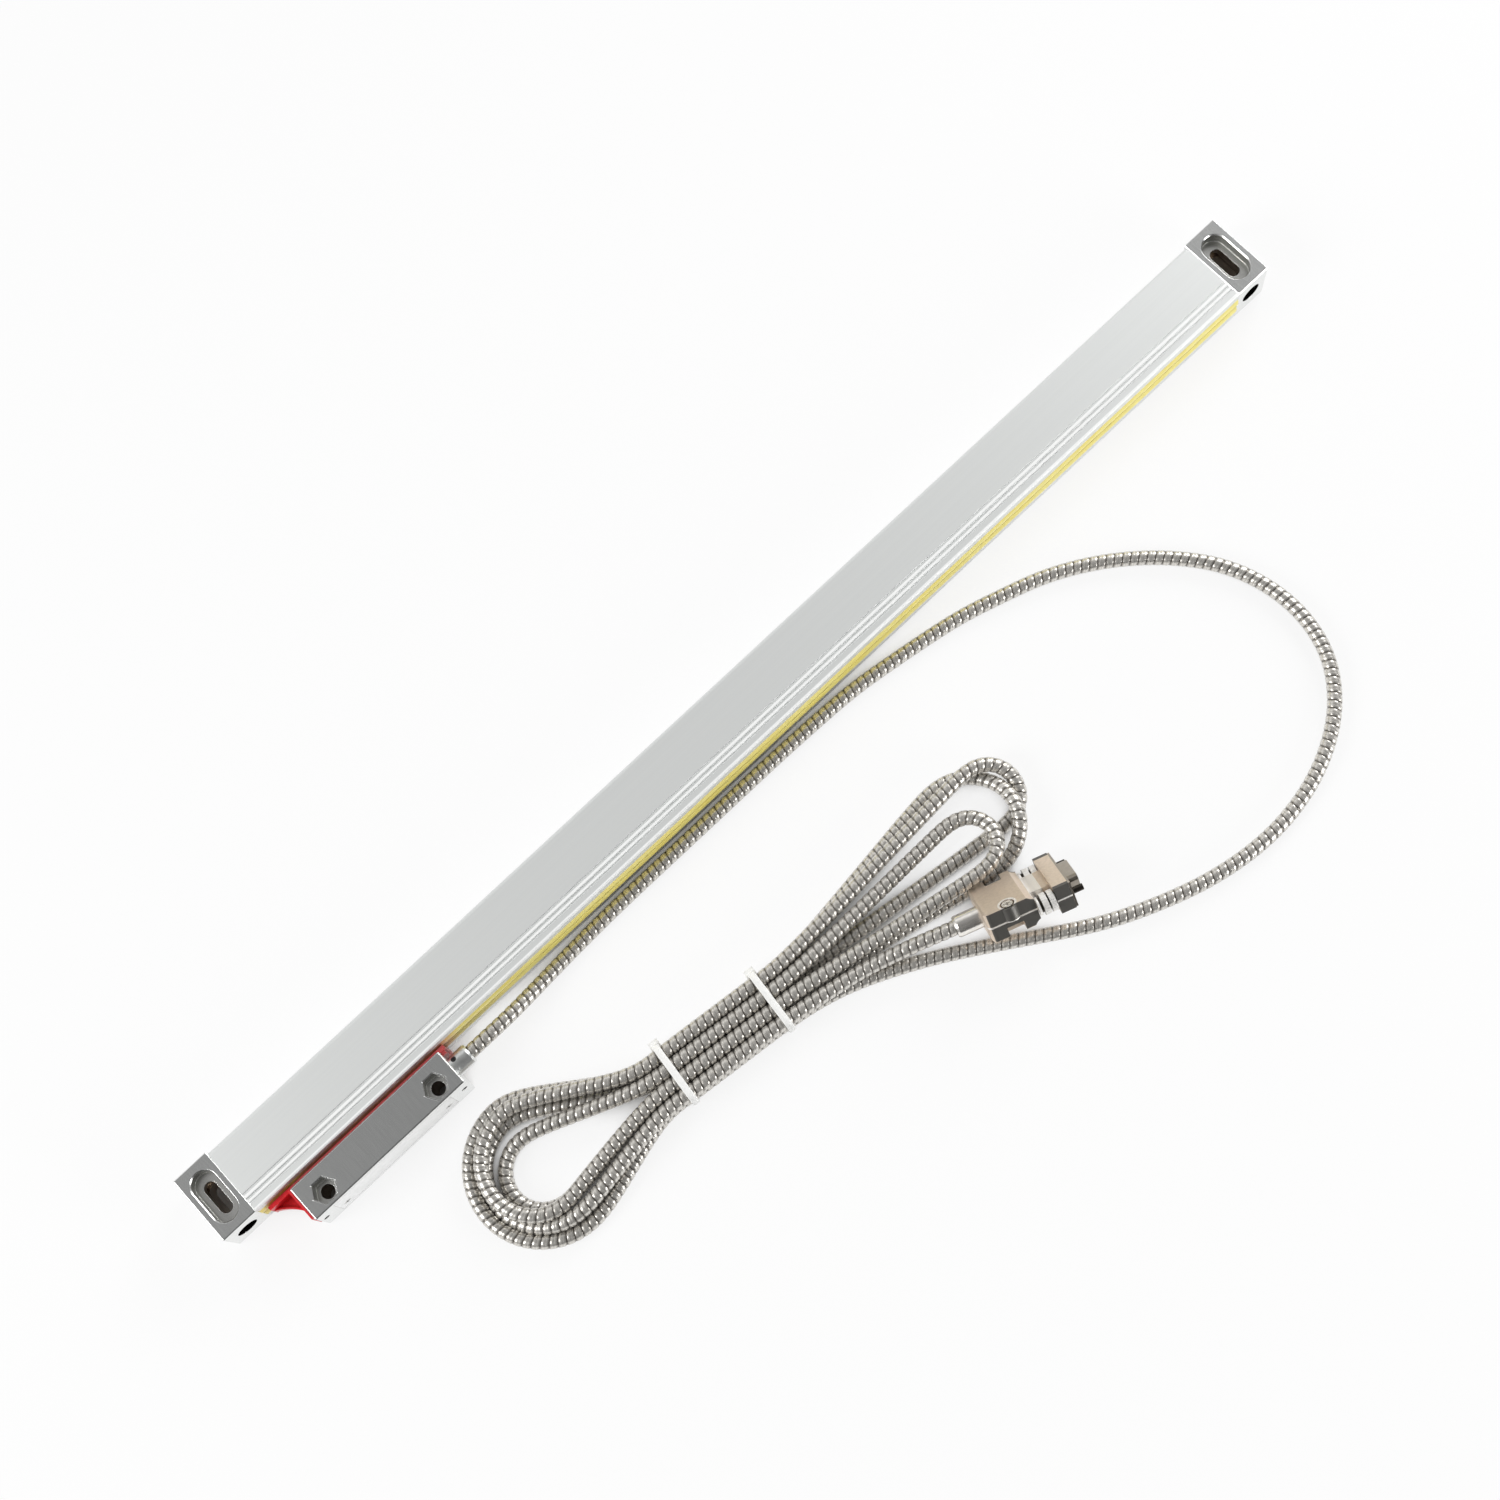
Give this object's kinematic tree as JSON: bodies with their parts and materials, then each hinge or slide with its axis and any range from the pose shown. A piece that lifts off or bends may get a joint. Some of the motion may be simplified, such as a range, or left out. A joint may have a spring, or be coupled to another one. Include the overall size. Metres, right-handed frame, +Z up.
{
  "type": "linear glass scale",
  "caption": "Enclosed linear glass scale: a lipped aluminium rail with end blocks, a sliding reading head with a transport spacer, and an armoured cable that ends in a screw-lock plug",
  "frame": {"origin": "middle of the rail's length and depth, on the mounting face under it", "axes": "+X along the rail from the end where the head rests, +Z up from the mounting face, and -Y towards the reading head"},
  "size_m": [0.642, 0.2233, 0.033],
  "materials": {
    "anodised_aluminium": "silver anodised extrusion, satin",
    "milled_aluminium": "milled and anodised, fine cutter marks",
    "cover_aluminium": "satin anodised sheet",
    "seal_yellow": "yellow polyurethane lip, slightly glossy",
    "seal_black": "black nitrile sheet",
    "scale_glass": "clear float glass",
    "adhesive": "cured elastic adhesive",
    "steel": "zinc-plated steel",
    "black_steel": "black oxide steel",
    "spring_steel": "stainless spring strip",
    "board_green": "green solder mask",
    "wire_black": "black insulation",
    "ribbon_orange": "polyimide film",
    "carriage_grey": "black anodised",
    "lamp_plastic": "clear moulded lamp holder",
    "roller_steel": "ground bearing steel",
    "spacer_red": "red moulded plastic",
    "gland_aluminium": "turned aluminium",
    "hose_steel": "strip-wound stainless armour",
    "tie_white": "white nylon",
    "hood_nickel": "nickel-plated die casting",
    "plug_nickel": "nickel-plated steel",
    "insulator_black": "black moulded insulator",
    "contact_gold": "gold flash on brass"
  },
  "bodies": {
    "housing": {"housing_extrusion": "anodised_aluminium", "left_end_block": "milled_aluminium", "right_end_block": "milled_aluminium", "left_gasket": "seal_black", "right_gasket": "seal_black", "end_block_screws": "steel", "upper_lip_seal": "seal_yellow", "lower_lip_seal": "seal_yellow", "glass_scale": "scale_glass", "bonding_strip": "adhesive"},
    "read_head": {"head_block": "milled_aluminium", "side_cover": "cover_aluminium", "cover_screws": "steel", "head_set_screws": "black_steel", "signal_board": "board_green", "board_screws": "steel", "wire_bundle": "wire_black", "ribbon_cable": "ribbon_orange", "scanning_arm": "spring_steel", "arm_screws": "steel", "coupling_spring": "spring_steel", "scan_carriage": "carriage_grey", "lamp_module": "lamp_plastic", "photocell_board": "board_green", "index_reticle": "scale_glass", "roller_axles": "steel", "transport_spacer": "spacer_red", "cable_gland": "gland_aluminium", "gland_screw": "black_steel", "hose_lead": "hose_steel", "hose_hank": "hose_steel", "hose_tail": "hose_steel", "cable_ties": "tie_white", "hose_ferrule": "plug_nickel", "hood_upper_half": "hood_nickel", "hood_lower_half": "hood_nickel", "hood_screws": "plug_nickel", "plug_shell": "plug_nickel", "plug_insulator": "insulator_black", "contact_pins": "contact_gold", "cable_clamp": "plug_nickel"},
    "face_roller_left": {"face_roller_left": "roller_steel"},
    "face_roller_right": {"face_roller_right": "roller_steel"},
    "edge_roller_left": {"edge_roller_left": "roller_steel"},
    "edge_roller_right": {"edge_roller_right": "roller_steel"},
    "thumbscrew_left": {"thumbscrew_left": "plug_nickel"},
    "thumbscrew_right": {"thumbscrew_right": "plug_nickel"}
  },
  "joints": [
    {"name": "head_slide", "type": "slide", "parent": "housing", "child": "read_head", "axis": [1, 0, 0], "range_m": [-0.01, 0.494]},
    {"name": "face_roller_left_spin", "type": "hinge", "parent": "read_head", "child": "face_roller_left", "pos_m": [-0.262, 0.0035, 0.0167], "axis": [0, 1, 0], "range_deg": [-232, 11340]},
    {"name": "face_roller_right_spin", "type": "hinge", "parent": "read_head", "child": "face_roller_right", "pos_m": [-0.222, 0.0035, 0.0167], "axis": [0, 1, 0], "range_deg": [-232, 11340]},
    {"name": "edge_roller_left_spin", "type": "hinge", "parent": "read_head", "child": "edge_roller_left", "pos_m": [-0.258, -0.0057, 0.0125], "axis": [0, 0, 1], "range_deg": [-232, 11340]},
    {"name": "edge_roller_right_spin", "type": "hinge", "parent": "read_head", "child": "edge_roller_right", "pos_m": [-0.226, -0.0057, 0.0125], "axis": [0, 0, 1], "range_deg": [-232, 11340]},
    {"name": "thumbscrew_left_turn", "type": "hinge", "parent": "read_head", "child": "thumbscrew_left", "pos_m": [0.05447, -0.14662, 0.00672], "axis": [0.9432, -0.3322, 0], "continuous": true},
    {"name": "thumbscrew_right_turn", "type": "hinge", "parent": "read_head", "child": "thumbscrew_right", "pos_m": [0.04913, -0.16178, 0.02588], "axis": [0.9432, -0.3322, 0], "continuous": true}
  ],
  "couplings": [
    {"joint": "face_roller_left_spin", "follows": "head_slide", "rad_per_m": 400},
    {"joint": "face_roller_right_spin", "follows": "head_slide", "rad_per_m": 400},
    {"joint": "edge_roller_left_spin", "follows": "head_slide", "rad_per_m": 400},
    {"joint": "edge_roller_right_spin", "follows": "head_slide", "rad_per_m": 400}
  ]
}
